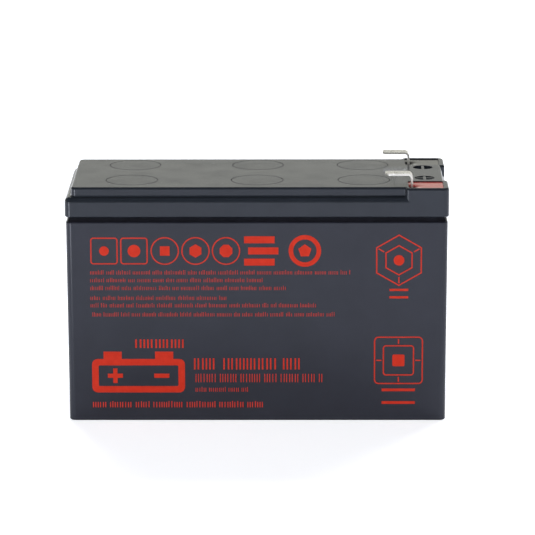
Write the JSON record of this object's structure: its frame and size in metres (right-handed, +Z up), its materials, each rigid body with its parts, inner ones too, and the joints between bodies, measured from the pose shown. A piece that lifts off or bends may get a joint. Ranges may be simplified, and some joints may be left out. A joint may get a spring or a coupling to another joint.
{
  "type": "sealed lead-acid battery block",
  "caption": "Rectangular sealed lead-acid battery block for an uninterruptible power supply, with a stepped lid, round vent covers and bent push-on tab terminals at one end.",
  "frame": {"origin": "middle of the base, on the surface the battery stands on", "axes": "+Z up, +X along the length to the terminal end, +Y across the width to the negative terminal's side"},
  "size_m": [0.151, 0.065, 0.0986],
  "materials": {
    "case_plastic": "dark blue-grey moulded ABS, semi-gloss",
    "tinned_brass": "bright tin plating on brass strip",
    "red_resin": "clear glossy red sealing resin",
    "black_resin": "glossy black sealing resin",
    "lead": "dull cast lead alloy",
    "positive_paste": "dark brown lead dioxide paste on a cast grid",
    "negative_paste": "grey spongy lead paste on a cast grid",
    "glass_mat": "white absorbent glass mat, soaked",
    "valve_rubber": "soft black rubber"
  },
  "bodies": {
    "root": {"container": "case_plastic", "lid": "case_plastic", "positive_terminal": "tinned_brass", "negative_terminal": "tinned_brass", "positive_terminal_seal": "red_resin", "negative_terminal_seal": "black_resin", "positive_post": "lead", "negative_post": "lead", "vent_cover_1": "case_plastic", "vent_valve_1": "valve_rubber", "positive_plates_1": "positive_paste", "negative_plates_1": "negative_paste", "separators_1": "glass_mat", "vent_cover_2": "case_plastic", "vent_valve_2": "valve_rubber", "positive_plates_2": "positive_paste", "negative_plates_2": "negative_paste", "separators_2": "glass_mat", "vent_cover_3": "case_plastic", "vent_valve_3": "valve_rubber", "positive_plates_3": "positive_paste", "negative_plates_3": "negative_paste", "separators_3": "glass_mat", "vent_cover_4": "case_plastic", "vent_valve_4": "valve_rubber", "positive_plates_4": "positive_paste", "negative_plates_4": "negative_paste", "separators_4": "glass_mat", "vent_cover_5": "case_plastic", "vent_valve_5": "valve_rubber", "positive_plates_5": "positive_paste", "negative_plates_5": "negative_paste", "separators_5": "glass_mat", "vent_cover_6": "case_plastic", "vent_valve_6": "valve_rubber", "positive_plates_6": "positive_paste", "negative_plates_6": "negative_paste", "separators_6": "glass_mat", "intercell_link_1": "lead", "intercell_link_2": "lead", "intercell_link_3": "lead", "intercell_link_4": "lead", "intercell_link_5": "lead"}
  },
  "joints": []
}
